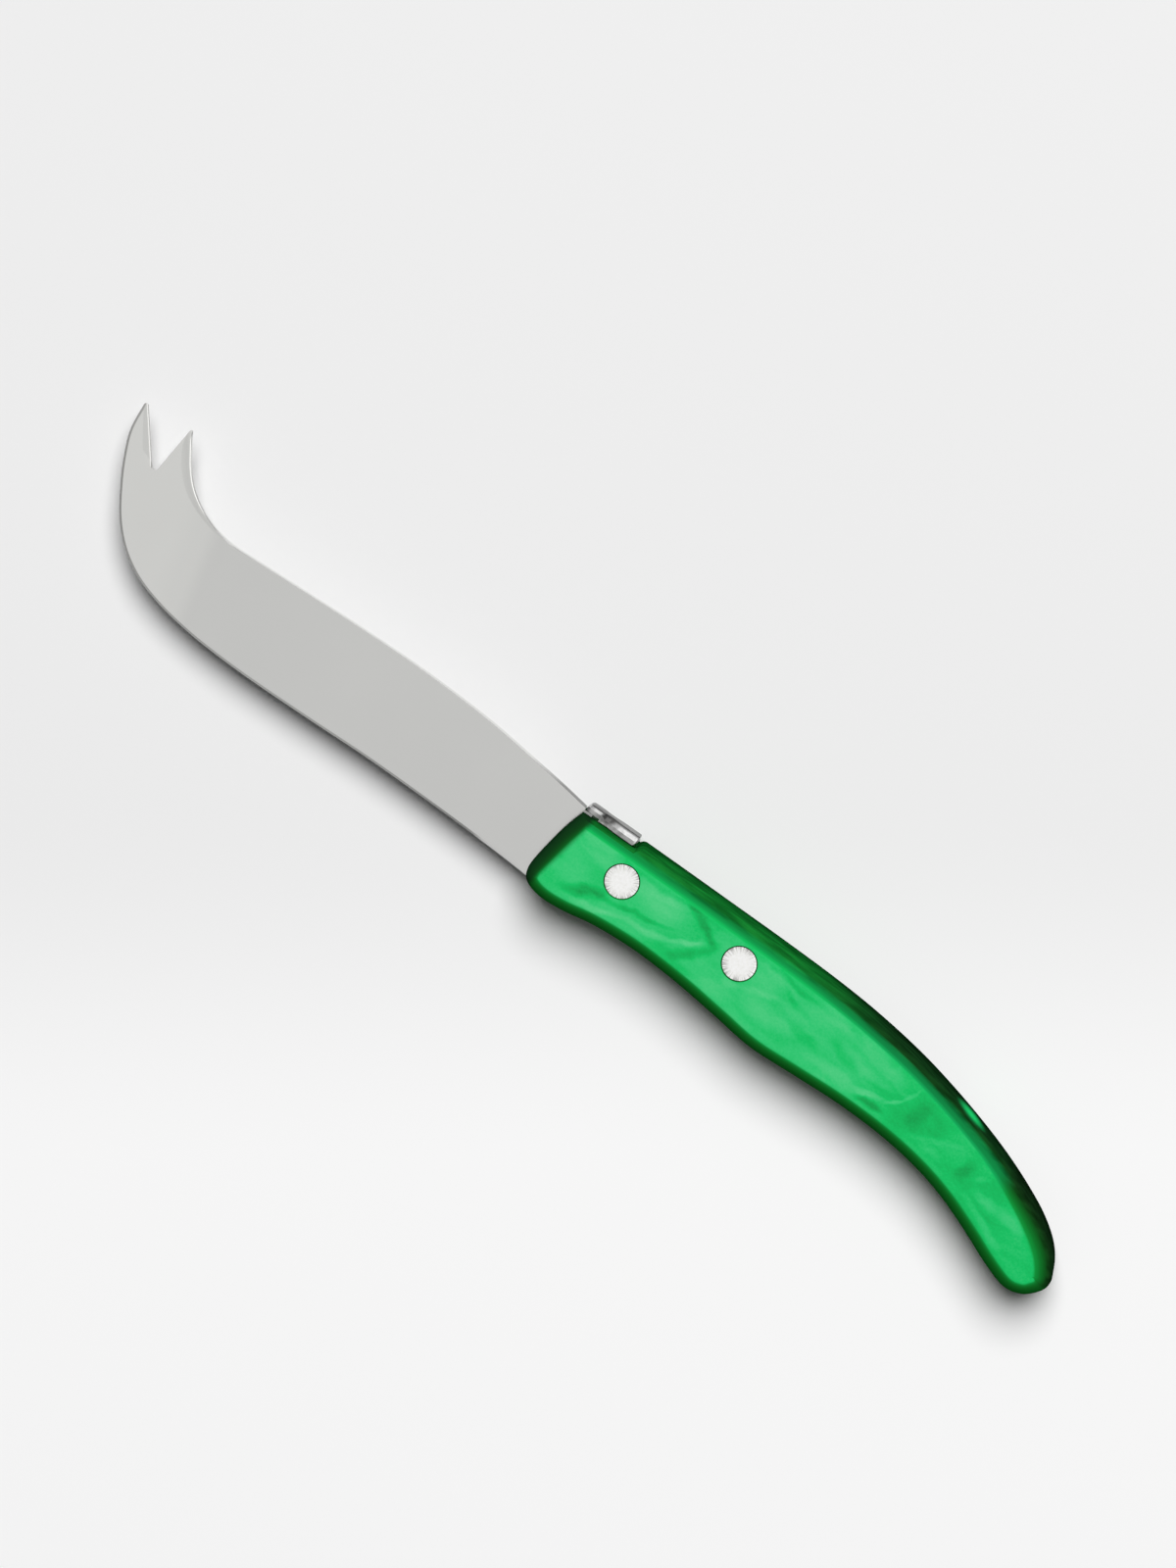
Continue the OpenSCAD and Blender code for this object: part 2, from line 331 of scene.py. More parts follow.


# %% [markdown]
# ## Pearly acrylic
# The handle is cast acrylic, polished on a wheel. Tiny flakes in the resin lie flat in the
# sheet. Seen from above they throw light back, and a slow stir before the cast leaves them
# as pale and deep wisps. Seen from the side they stand on edge and send back little, so the
# rounded edges and the walls turn deep green, and the shade and reflection that they show
# under the studio light are painted into that green. The shader follows that: wisps choose
# between greens, and the tilt of the surface away from the sheet darkens them with painted shade.

# %% Wisps in the acrylic
# Each wisp: its middle in mm from the front rivet, its length and width in mm, its turn in
# degrees, and how much paler (or, below zero, deeper) it makes the green
WISPS = [
    ((9.0, 3.6), 30, 2.0, -1, -0.55), ((35.0, 3.0), 24, 1.8, -3, -0.5),
    ((-6.0, -6.4), 8, 2.4, 12, -0.5), ((-6.5, 2.6), 13, 6.0, -8, 0.5), ((-8.0, -3.0), 10, 8.0, 30, 0.4),
    ((-3.8, -4.7), 10, 2.8, 18, -0.8), ((8.0, 1.2), 17, 7.5, -8, 0.75),
    ((16.5, 1.8), 13, 2.8, -30, -0.7), ((19.8, -0.6), 5, 4.0, 30, -0.55),
    ((5.0, -3.2), 24, 1.5, 9, -0.6), ((-1.5, -6.6), 16, 2.2, 14, 0.6), ((9.0, -4.7), 15, 2.0, 6, 0.7),
    ((15.8, -2.6), 9, 1.6, 34, 0.85), ((17.0, -4.0), 11, 2.6, 36, -0.75),
    ((24.0, -6.4), 12, 5.0, -6, 0.5), ((14.0, -6.4), 14, 3.2, -3, -0.55),
    ((26.0, -3.8), 5, 3.0, 0, 0.55), ((33.0, 2.5), 16, 3.0, -8, 0.35),
    ((31.0, -2.2), 14, 2.0, 16, 0.35), ((38.0, 0.4), 13, 2.0, -22, -0.4),
    ((35.5, -5.0), 14, 5.0, 6, 0.4), ((42.0, -4.0), 8, 3.0, -12, -0.35),
    ((47.5, 1.6), 16, 3.6, -10, 0.45), ((31.0, -1.5), 9, 12.0, 0, 0.4),
    ((50.5, -3.0), 10, 3.6, -25, -0.5), ((50.5, 1.4), 8, 2.6, -15, -0.45),
    ((56.0, 0.6), 18, 4.4, -12, 0.6), ((50.0, -6.6), 18, 3.6, -4, 0.6),
    ((58.0, -2.8), 12, 3.2, -8, 0.55), ((58.4, -6.2), 8, 1.8, 12, 0.75),
    ((62.4, -4.6), 6, 1.0, 45, 0.8), ((64.4, -1.6), 6, 1.2, 66, 0.45), ((59.0, -7.6), 8, 2.2, 6, -1.0),
    ((67.5, -3.4), 5, 8.0, -20, -0.35), ((59.0, -2.6), 12, 6.0, -14, -0.5),
    ((76.4, -3.6), 10, 5.0, 18, 0.35), ((72.0, -6.2), 16, 2.4, 14, 0.3),
    ((95.0, -14.0), 16, 8.0, -42, 0.22), ((72.0, -8.0), 10, 2.6, -14, 0.4),
    ((80.2, -7.2), 4, 7.0, -15, -0.4), ((83.4, -7.0), 4, 1.6, 40, 0.4), ((86.0, -9.6), 9, 2.8, -6, 0.5),
    ((92.0, -10.2), 9, 3.0, -20, 0.4), ((88.0, -13.6), 18, 2.6, -25, 0.5),
]
print(len(WISPS), "wisps")


# %% Places, soft changes and soft spots in a material
def in_mm(tree, centre=(0, 0, 0), flatten=1.0):
    """Places in mm from the front rivet or another centre, with heights times flatten, and normals."""
    at = add(tree, "ShaderNodeTexCoord")
    mm = add(tree, "ShaderNodeVectorMath", {0: at.outputs["Object"], "Scale": 1 / MM},
             operation="SCALE").outputs[0]
    away = -(middle / MM + Vector(centre))
    mm = add(tree, "ShaderNodeVectorMath", {0: mm, 1: away[:]}, operation="ADD").outputs[0]
    mm = add(tree, "ShaderNodeVectorMath", {0: mm, 1: (1, 1, flatten)}, operation="MULTIPLY").outputs[0]
    return mm, at.outputs["Normal"]


def fade(tree, value, start, end, first, second):
    """The first colour until the value is at start, then a soft change to the second at end."""
    share = add(tree, "ShaderNodeMapRange", {"Value": value, "From Min": start, "From Max": end},
                interpolation_type="SMOOTHSTEP").outputs[0]
    return add(tree, "ShaderNodeMix", {"Factor": share, "A": first, "B": second},
               data_type="RGBA").outputs["Result"]


def spot(tree, mm, place, turn, half_size):
    """1 in the middle of a soft spot and 0 at its rim, half a size away along each axis."""
    local = add(tree, "ShaderNodeMapping", {
        "Vector": mm, "Location": place, "Rotation": (0, 0, math.radians(turn)), "Scale": half_size},
        vector_type="TEXTURE").outputs[0]
    return add(tree, "ShaderNodeTexGradient", {"Vector": local}, gradient_type="SPHERICAL").outputs["Fac"]


# %% The marbling
# How far the stir bends the wisps and how wide its turns are, both in mm
BEND, GRAIN = 1.6, 6.0
# The wisps go right through the handle
DEEP = 60.0


def wisps(tree, mm):
    """A value round 0.4 that rises in pale wisps and falls in deep ones."""
    slow = add(tree, "ShaderNodeTexNoise", {"Vector": mm, "Scale": 1 / GRAIN, "Detail": 3.0}).outputs["Color"]
    push = add(tree, "ShaderNodeVectorMath", {0: slow, 1: (0.5, 0.5, 0.5)}, operation="SUBTRACT").outputs[0]
    bent = add(tree, "ShaderNodeVectorMath", {0: push, 1: (BEND * 2,) * 3, 2: mm},
               operation="MULTIPLY_ADD").outputs[0]
    flow = add(tree, "ShaderNodeMapping", {
        "Vector": bent, "Rotation": (0, 0, math.radians(12)), "Scale": (1 / 12, 1 / 4, 1 / 6)}).outputs[0]
    flow = add(tree, "ShaderNodeTexNoise", {"Vector": flow, "Scale": 1.0, "Detail": 4.0, "Distortion": 0.5})
    flake = add(tree, "ShaderNodeTexNoise", {"Vector": mm, "Scale": 1 / 0.4, "Detail": 3.0}).outputs["Fac"]
    total = add(tree, "ShaderNodeMapRange", {
        "Value": flow.outputs["Fac"], "From Min": 0.3, "From Max": 0.7,
        "To Min": 0.33, "To Max": 0.57}).outputs[0]
    total = add(tree, "ShaderNodeMath", {0: flake, 1: 0.24, 2: total}, operation="MULTIPLY_ADD").outputs[0]
    far = add(tree, "ShaderNodeSeparateXYZ", {0: bent}).outputs["X"]
    # The rear of the handle is deeper as a whole
    deeper = add(tree, "ShaderNodeMapRange", {
        "Value": far, "From Min": 59.0, "From Max": 67.0, "To Max": -0.16},
        interpolation_type="SMOOTHSTEP").outputs[0]
    total = add(tree, "ShaderNodeMath", {0: total, 1: deeper}, operation="ADD").outputs[0]
    for (x, y), length, width, turn, strength in WISPS:
        wisp = spot(tree, bent, (x, y, 0), turn, (length / 2, width / 2, DEEP))
        wisp = add(tree, "ShaderNodeMapRange", {"Value": wisp, "From Max": 0.8},
                   interpolation_type="SMOOTHSTEP").outputs[0]
        total = add(tree, "ShaderNodeMath", {0: wisp, 1: strength * 0.4, 2: total},
                    operation="MULTIPLY_ADD").outputs[0]
    return total


# %% [markdown]
# The rounded sides carry painted reflection and painted shade in their colour, and these
# change along the knife: clear green near the rivets, deeper further back, clear again where
# the back bends down, and almost black at the butt.

# %% The sides of the acrylic
# Each row says what the tilt does to the colour, where 0 is a wall and 1 is the flat. The
# colours are painted shade and painted reflection. The first four follow each other along the
# back. The last two are the belly and the front
TILTS = {
    "near": [(0.0, "#126e28"), (0.6, "#116625"), (0.77, "#107a37"),
             (0.87, "#11843f"), (0.94, "#12964a"), (0.99, "#16b85a")],
    "far": [(0.0, "#113517"), (0.68, "#103614"), (0.78, "#0f6531"),
            (0.87, "#10763c"), (0.94, "#117d40"), (0.99, "#16a457")],
    "bend": [(0.0, "#103517"), (0.5, "#103a15"), (0.64, "#0f5a28"),
             (0.76, "#10743a"), (0.94, "#118141"), (0.99, "#16a457")],
    "butt": [(0.0, "#102a13"), (0.6, "#102e12"), (0.8, "#114016"),
             (0.89, "#115a1f"), (0.95, "#127029"), (0.992, "#13903a")],
    "low": [(0.2, "#125c1c"), (0.64, "#11661f"), (0.8, "#126621"),
            (0.91, "#126a22"), (0.965, "#127a2e"), (0.993, "#149642")],
    "front": [(0.45, "#113419"), (0.8, "#113918"), (0.89, "#114019"),
              (0.95, "#114c1b"), (0.987, "#115b20"), (1.0, "#126e28")]}
# Where one row gives way to the next along the back, in mm from the front rivet
CHANGES = [("far", 32.0, 58.0), ("bend", 67.0, 73.0), ("butt", 84.5, 89.5)]


def back_streaks(tree, mm, tilt):
    """A factor round 1 that streaks the wall of the back and leaves its rounding alone."""
    streak = add(tree, "ShaderNodeMapping", {"Vector": mm, "Scale": (1 / 7, 1 / 1.2, 1 / 1.5)}).outputs[0]
    streak = add(tree, "ShaderNodeTexNoise", {"Vector": streak, "Scale": 1.0, "Detail": 3.0}).outputs["Fac"]
    streak = add(tree, "ShaderNodeMapRange", {
        "Value": streak, "From Min": 0.35, "From Max": 0.7, "To Min": 0.65, "To Max": 1.35}).outputs[0]
    return add(tree, "ShaderNodeMapRange", {
        "Value": tilt, "From Min": 0.77, "From Max": 0.87, "To Min": streak, "To Max": 1.0}).outputs[0]


def sides(tree, mm, normal, tilt):
    """The painted shade and reflection of the sides, and of the front end."""
    shade = {name: add(tree, "ShaderNodeValToRGB", {"Fac": tilt}, stops=stops).outputs["Color"]
             for name, stops in TILTS.items()}
    place = add(tree, "ShaderNodeSeparateXYZ", {0: mm}).outputs
    spine = shade["near"]
    for name, start, end in CHANGES:
        spine = fade(tree, place["X"], start, end, spine, shade[name])
    # Painted shade: the back grows darker towards the floor side
    painted_shade_below = add(tree, "ShaderNodeMapRange", {
        "Value": place["Z"], "From Min": -3.5, "From Max": 2.5, "To Min": 0.3}).outputs[0]
    for factor in (back_streaks(tree, mm, tilt), painted_shade_below):
        spine = add(tree, "ShaderNodeVectorMath", {0: spine, "Scale": factor}, operation="SCALE").outputs[0]
    # A painted highlight on the back near the butt
    painted_gleam = spot(tree, mm, (75.4, 0.8, 1.0), -22, (4.6, 2.0, 4.0))
    spine = fade(tree, painted_gleam, 0.0, 0.9, spine, colour("#1cc468"))
    # The belly side takes its own row of painted shade and reflection
    around = add(tree, "ShaderNodeVectorMath", {0: normal, 1: (1, 1, 0)}, operation="MULTIPLY").outputs[0]
    around = add(tree, "ShaderNodeVectorMath", {0: around}, operation="NORMALIZE").outputs[0]
    toward = add(tree, "ShaderNodeSeparateXYZ", {0: around}).outputs["Y"]
    return fade(tree, toward, -0.6, 0.2, shade["low"], spine), shade["front"]


# %% The acrylic
ACRYLIC_IOR = 1.49
# The front of the handle stands square to this way
FRONT_WAY = (1, -0.19, 0)


def pearl_acrylic():
    material, tree = new_material("pearl_acrylic_green")
    mm, normal = in_mm(tree)
    face = add(tree, "ShaderNodeValToRGB", {"Fac": wisps(tree, mm)}, stops=[
        (0.0, "#12803c"), (0.15, "#139c4c"), (0.3, "#15b259"), (0.44, "#17c063"), (0.6, "#32c773"),
        (0.8, "#4bcd80"), (1.0, "#66d490")]).outputs["Color"]
    tilt = add(tree, "ShaderNodeSeparateXYZ", {0: normal}).outputs["Z"]
    tilt = add(tree, "ShaderNodeMath", {0: tilt}, operation="ABSOLUTE").outputs[0]
    side, front = sides(tree, mm, normal, tilt)
    flat = add(tree, "ShaderNodeMapRange", {"Value": tilt, "From Min": 0.985, "From Max": 0.9995},
               interpolation_type="SMOOTHSTEP").outputs[0]
    mixed = add(tree, "ShaderNodeMix", {"Factor": flat, "A": side, "B": face},
                data_type="RGBA").outputs["Result"]
    # Towards the front end the colour gives way to the front row, a band of painted shade
    behind = add(tree, "ShaderNodeVectorMath", {0: mm, 1: FRONT_WAY},
                 operation="DOT_PRODUCT").outputs["Value"]
    mixed = fade(tree, behind, -12.1, -10.7, front, mixed)
    gloss = add(tree, "ShaderNodeMapRange", {"Value": flat, "To Max": 0.12}).outputs[0]
    shader = add(tree, "ShaderNodeBsdfPrincipled", {
        "Base Color": mixed, "Roughness": 0.35, "IOR": ACRYLIC_IOR, "Specular IOR Level": 0.0,
        "Coat Weight": gloss, "Coat Roughness": 0.06, "Coat IOR": ACRYLIC_IOR})
    add(tree, "ShaderNodeOutputMaterial", {"Surface": shader.outputs["BSDF"]})
    return material


# %% [markdown]
# ## Ground steel and aluminium
# The blade is a chromium steel, ground and then satin finished: bright, and a little blurred
# in the reflection. The hook is ground apart from the rest, and the brighter light that its
# own grind sends back is painted into its colour. The plate on the back is tumbled, which
# leaves it darker and uneven; the light on its shoulders, the dark of its top and the shade in
# its waist are painted. The rivets are aluminium, ground flush with the handle, and the
# squeeze that set their heads left fine lines that run out to the rim.

# %% Satin steel
# The crease where the hook's own grind begins stands square to this way
HOOK_WAY = (-0.98, -0.197, 0)


def cloud_and_hook_sheen(tree, mm):
    """0 to 1 from the dull part of the blade to the hook's painted brighter reflection, with faint clouds."""
    cloud = add(tree, "ShaderNodeTexNoise", {"Vector": mm, "Scale": 1 / 25.0, "Detail": 2.0})
    tone = add(tree, "ShaderNodeMapRange", {
        "Value": cloud.outputs["Fac"], "From Min": 0.3, "From Max": 0.7, "To Max": 0.12}).outputs[0]
    crease = add(tree, "ShaderNodeVectorMath", {0: mm, 1: HOOK_WAY},
                 operation="DOT_PRODUCT").outputs["Value"]
    # The painted reflection changes at a crease and rises slowly behind it
    for start, end, rise in ((90.0, 94.0, 0.45), (94.0, 100.0, 0.2)):
        hook = add(tree, "ShaderNodeMapRange", {
            "Value": crease, "From Min": start, "From Max": end, "To Max": rise},
            interpolation_type="SMOOTHSTEP").outputs[0]
        tone = add(tree, "ShaderNodeMath", {0: tone, 1: hook}, operation="ADD").outputs[0]
    return tone


def wall_tone_and_shade(tree, mm, facing):
    """The narrow walls are bright along the back of the blade, darker on the others, with painted shade where
    the plate is near.
    """
    far = add(tree, "ShaderNodeSeparateXYZ", {0: mm}).outputs["X"]
    far = add(tree, "ShaderNodeMapRange", {"Value": far, "From Min": -110.0, "From Max": -10.0}).outputs[0]
    # Along the back: plain at the hook, bright in the middle, and painted shade where the plate is near
    back = add(tree, "ShaderNodeValToRGB", {"Fac": far}, stops=[
        (0.08, "#bcbcba"), (0.12, "#e2e2df"), (0.84, "#e2e2df"), (0.92, "#565654")]).outputs["Color"]
    return fade(tree, facing["Y"], 0.3, 0.7, colour("#bcbcba"), back)


def satin_steel():
    material, tree = new_material("satin_ground_steel")
    mm, normal = in_mm(tree)
    base = add(tree, "ShaderNodeValToRGB", {"Fac": cloud_and_hook_sheen(tree, mm)}, stops=[
        (0.0, "#c5c5c3"), (1.0, "#d5d5d2")]).outputs["Color"]
    facing = add(tree, "ShaderNodeSeparateXYZ", {0: normal}).outputs
    tilt = add(tree, "ShaderNodeMath", {0: facing["Z"]}, operation="ABSOLUTE").outputs[0]
    base = fade(tree, tilt, 0.3, 0.8, wall_tone_and_shade(tree, mm, facing), base)
    along = add(tree, "ShaderNodeMapping", {"Vector": mm, "Scale": (0.25, 6.0, 1.0)}).outputs[0]
    grind = add(tree, "ShaderNodeTexNoise", {"Vector": along, "Scale": 1.0, "Detail": 3.0})
    rough_map = add(tree, "ShaderNodeMapRange", {
        "Value": grind.outputs["Fac"], "To Min": 0.15, "To Max": 0.2}).outputs[0]
    shader = add(tree, "ShaderNodeBsdfPrincipled", {
        "Base Color": base, "Metallic": 1.0, "Roughness": rough_map})
    add(tree, "ShaderNodeOutputMaterial", {"Surface": shader.outputs["BSDF"]})
    return material


# %% Tumbled steel
def tumbled_steel():
    material, tree = new_material("tumbled_steel")
    mm, normal = in_mm(tree)
    worn = add(tree, "ShaderNodeTexNoise", {"Vector": mm, "Scale": 1 / 0.9, "Detail": 3.0})
    even = add(tree, "ShaderNodeMapRange", {
        "Value": worn.outputs["Fac"], "From Min": 0.3, "From Max": 0.7,
        "To Min": 0.8, "To Max": 1.2}).outputs[0]
    # Painted highlight on the shoulders and painted shade on the top, chosen by which way the surface faces
    toward = add(tree, "ShaderNodeSeparateXYZ", {0: normal}).outputs["Y"]
    base = add(tree, "ShaderNodeValToRGB", {"Fac": toward}, stops=[
        (0.18, "#a0a09f"), (0.32, "#c0c0bf"), (0.5, "#bababa"), (0.65, "#6a6a69")]).outputs["Color"]
    base = add(tree, "ShaderNodeVectorMath", {0: base, "Scale": even}, operation="SCALE").outputs[0]
    # Painted shade in the hollow of the waist
    painted_waist_shade = spot(tree, mm, (-8.35, 6.95, 3.0), 30, (3.0, 1.5, 9.0))
    base = fade(tree, painted_waist_shade, 0.1, 0.6, base, colour("#5c5c5b"))
    lift = add(tree, "ShaderNodeBump", {
        "Height": worn.outputs["Fac"], "Strength": 0.25, "Distance": 0.1 * MM})
    shader = add(tree, "ShaderNodeBsdfPrincipled", {
        "Base Color": base, "Metallic": 1.0, "Roughness": 0.2, "Normal": lift.outputs["Normal"]})
    add(tree, "ShaderNodeOutputMaterial", {"Surface": shader.outputs["BSDF"]})
    return material


# %% Aluminium with radial lines
def set_aluminium(name, x):
    """For the rivet that stands x mm from the front one. x also sets which lines it gets."""
    material, tree = new_material(name)
    mm, _ = in_mm(tree, (x, 0, 0), 0.0)
    round_it = add(tree, "ShaderNodeTexGradient", {"Vector": mm}, gradient_type="RADIAL").outputs["Fac"]
    radius = add(tree, "ShaderNodeVectorMath", {0: mm}, operation="LENGTH").outputs["Value"]
    spoke = add(tree, "ShaderNodeCombineXYZ", {"X": round_it, "Y": radius, "Z": x}).outputs[0]
    spoke = add(tree, "ShaderNodeMapping", {"Vector": spoke, "Scale": (70.0, 0.4, 1.0)}).outputs[0]
    lines = add(tree, "ShaderNodeTexNoise", {"Vector": spoke, "Scale": 1.0, "Detail": 2.0}).outputs["Fac"]
    lines = add(tree, "ShaderNodeMapRange", {"Value": lines, "From Min": 0.42, "From Max": 0.62}).outputs[0]
    rim = add(tree, "ShaderNodeMapRange", {
        "Value": radius, "From Min": HEAD_R * 0.55, "From Max": HEAD_R * 0.95, "To Max": 0.42}).outputs[0]
    mottle = add(tree, "ShaderNodeTexNoise", {"Vector": mm, "Scale": 1 / 0.6, "Detail": 3.0}).outputs["Fac"]
    shade = add(tree, "ShaderNodeMath", {0: lines, 1: rim}, operation="MULTIPLY").outputs[0]
    shade = add(tree, "ShaderNodeMath", {0: mottle, 1: 0.3, 2: shade}, operation="MULTIPLY_ADD").outputs[0]
    base = add(tree, "ShaderNodeValToRGB", {"Fac": shade}, stops=[
        (0.06, "#ffffff"), (0.2, "#f4f4f1"), (0.6, "#a9a9a6")]).outputs["Color"]
    shader = add(tree, "ShaderNodeBsdfPrincipled", {"Base Color": base, "Metallic": 1.0, "Roughness": 0.32})
    add(tree, "ShaderNodeOutputMaterial", {"Surface": shader.outputs["BSDF"]})
    return material


# %% The materials that are used once
acrylic = pearl_acrylic()
steel = satin_steel()
tumbled = tumbled_steel()
print("materials:", ", ".join(m.name for m in bpy.data.materials))

# %% [markdown]
# ## The handle
# A handle like this is sawn from a cast sheet along a template, and its edges are rounded
# over before it is polished. Here the outline of the template becomes a stack of rings. At
# both rims the rings move in along a quarter of a circle, and one more ring, a little
# further in on the flat, keeps the shading of the rounding off it.

# %% The outline of the template, as shares of the handle's length and depth
BACK = [
    (0.011, 0.405), (0.08, 0.405), (0.18, 0.402), (0.28, 0.396), (0.38, 0.388), (0.48, 0.366),
    (0.56, 0.32), (0.64, 0.238), (0.71, 0.128), (0.78, -0.012), (0.84, -0.158), (0.895, -0.325),
    (0.94, -0.495), (0.975, -0.69), (0.996, -0.9)]
BUTT = [(1.0, -1.05), (0.991, -1.18), (0.972, -1.298)]
BELLY = [
    (0.943, -1.3345), (0.9, -1.235), (0.85, -1.075), (0.79, -0.905), (0.73, -0.79), (0.66, -0.72),
    (0.58, -0.7), (0.5, -0.725), (0.42, -0.75), (0.35, -0.69), (0.27, -0.625), (0.19, -0.598),
    (0.12, -0.63), (0.07, -0.695), (0.035, -0.718), (0.01, -0.695), (-0.007, -0.63)]
FRONT = [(-0.0135, -0.52), (-0.0132, -0.4), (-0.01, -0.22), (-0.0035, 0.06), (0.004, 0.26)]
handle_line = smooth_line([on_handle(s) for s in BACK + BUTT + BELLY + FRONT])
BACK_Y = on_handle(BACK[0]).y
FRONT_X = on_handle(BACK[0]).x
NOTCH_Y = BACK_Y - NOTCH_DEPTH
print(f"{len(handle_line)} points on the handle's outline")

# %% How far in the rounding reaches
# Near the butt it reaches further in, by up to half, where the outline runs along BUTT_TURN.
# The growth starts at BUTT_START and is complete after 1 / BUTT_RATE of the way to the end
BUTT_START, BUTT_GROWTH, BUTT_RATE = 82.0, 0.5, 1.5
BUTT_TURN = math.radians(-50)
BUTT_END = max(p.x for p in handle_line)
butt_way = Vector((math.cos(BUTT_TURN), math.sin(BUTT_TURN)))


def reach(line):
    """A factor for each point of the line."""
    factors = []
    for i, place in enumerate(line):
        way = (line[(i + 1) % len(line)] - line[i - 1]).normalized()
        facing = max(way.dot(butt_way), 0)
        along = max(place.x - BUTT_START, 0) / (BUTT_END - BUTT_START)
        factors.append(1 + BUTT_GROWTH * min(BUTT_RATE * along, 1) * facing)
    return factors


factors = reach(handle_line)
print(f"the rounding reaches in from {EDGE_R:.2f} to {EDGE_R * max(factors):.2f} mm")

# %% The rounded slab
FLAT_INSET, ROUND_STEPS = 0.15, 12
rounding = arc((EDGE_R, HALF_T - EDGE_R), EDGE_R, math.pi, math.pi / 2, ROUND_STEPS)
rounding.append(rounding[-1] + Vector((FLAT_INSET, 0)))
upper = [layer(moved_in(handle_line, far, factors), height) for far, height in rounding]
lower = [[(x, y, -z) for x, y, z in ring] for ring in reversed(upper)]
handle = rough("handle_body", stack(lower + upper))
print(f"{len(lower + upper)} rings in the handle")

# %% [markdown]
# Three cuts follow: the notch in the back that holds the small plate, the slot for the tang,
# and a stepped bore for each rivet. The slot's tool and the tang come from one outline, so
# the tang fits its slot.

# %% The notch, with a round corner behind it
# The corner's middle lies this share of its radius below the back, so it meets the back at a
# slight angle
CORNER_SHARE, CORNER_STEPS = 0.95, 16
fly_low, fly_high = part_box("fly_plate")
NOTCH_X = (fly_high[0] - middle.x) / MM + NOTCH_GAP
outside = FRONT_X - FRONT_GAP
centre = (NOTCH_X + NOTCH_R, BACK_Y - CORNER_SHARE * NOTCH_R)
low_turn = math.pi - math.asin((NOTCH_Y - centre[1]) / NOTCH_R)
corner = arc(centre, NOTCH_R, low_turn, math.pi / 2, CORNER_STEPS)
notch_line = [(outside, NOTCH_Y), *corner, (centre[0], BACK_Y + OVER), (outside, BACK_Y + OVER)]
work(handle, rough("notch_tool", prism(notch_line, -HALF_T - OVER, HALF_T + OVER)))
print(f"the notch is {NOTCH_DEPTH} mm deep and ends {NOTCH_X - FRONT_X:.2f} mm from the front")

# %% The outline of heel and tang
HEEL_X = FRONT_X + HEEL_IN
TANG_X = RIVET_PITCH + TANG_TAIL - TANG_H / 2
STEP_X = NOTCH_X - NOTCH_DEPTH
END_STEPS = 24


def tang_outline(front, heel_y, seat_y, gap):
    """The tang has a round end. The gap lets the outline out where it makes the slot."""
    high = TANG_H / 2 + gap
    end = arc((TANG_X, 0), high, -math.pi / 2, math.pi / 2, END_STEPS)
    return [(front, heel_y), (HEEL_X + gap, heel_y), (HEEL_X + gap, -high), *end,
            (STEP_X + gap, high), (STEP_X + gap, seat_y), (front, seat_y)]


# %% The blade's sizes from heel to tip
# Each row is one place along the blade. It gives the edge and the spine, as shares of the
# blade's length and depth, then how thick the body and the strip along the edge are, as
# shares of the sheet, and last the width of the bevel at the spine, as a share of the widest,
# and how thick that bevel leaves the rim
BLADE = [
    ((-0.008, -0.561), (-0.008, 0.325), (1, 0.85), (0.06, 0.88)),
    ((0.045, -0.542), (0.045, 0.37), (1, 0.6), (0.06, 0.88)),
    ((0.1, -0.528), (0.1, 0.408), (0.96, 0.42), (0.06, 0.84)),
    ((0.21, -0.512), (0.21, 0.476), (0.88, 0.32), (0.06, 0.76)),
    ((0.345, -0.506), (0.345, 0.507), (0.8, 0.29), (0.06, 0.68)),
    ((0.475, -0.525), (0.475, 0.497), (0.74, 0.28), (0.06, 0.62)),
    ((0.597, -0.535), (0.6, 0.47), (0.7, 0.27), (0.06, 0.58)),
    ((0.684, -0.52), (0.695, 0.446), (0.68, 0.27), (0.06, 0.56)),
    ((0.741, -0.489), (0.738, 0.439), (0.67, 0.27), (0.06, 0.55)),
    ((0.792, -0.438), (0.77, 0.461), (0.62, 0.27), (0.2, 0.48)),
    ((0.843, -0.348), (0.8, 0.513), (0.58, 0.27), (0.4, 0.38)),
    ((0.888, -0.197), (0.828, 0.592), (0.54, 0.27), (0.62, 0.3)),
    ((0.926, 0.02), (0.852, 0.695), (0.5, 0.27), (0.82, 0.24)),
    ((0.958, 0.302), (0.873, 0.83), (0.46, 0.27), (0.95, 0.2)),
    ((0.981, 0.56), (0.889, 0.965), (0.42, 0.27), (0.9, 0.17)),
    ((0.996, 0.8), (0.899, 1.05), (0.38, 0.26), (0.6, 0.15)),
    ((1, 1.085), (0.905, 1.115), (0.34, 0.24), (0.3, 0.15))]
HEEL_LOW = on_blade(BLADE[0][0])
print(f"{len(BLADE)} rows, and the heel's corner is at {HEEL_LOW.x:.2f}, {HEEL_LOW.y:.2f} mm")

# %% The slot
half_blade = BLADE_T / 2
slot_line = tang_outline(outside, HEEL_LOW.y - SLOT_GAP, NOTCH_Y + OVER, SLOT_GAP)
work(handle, rough("slot_tool", prism(slot_line, -half_blade - SLOT_GAP, half_blade + SLOT_GAP)))
print(f"the slot is {BLADE_T + 2 * SLOT_GAP:.2f} mm wide")

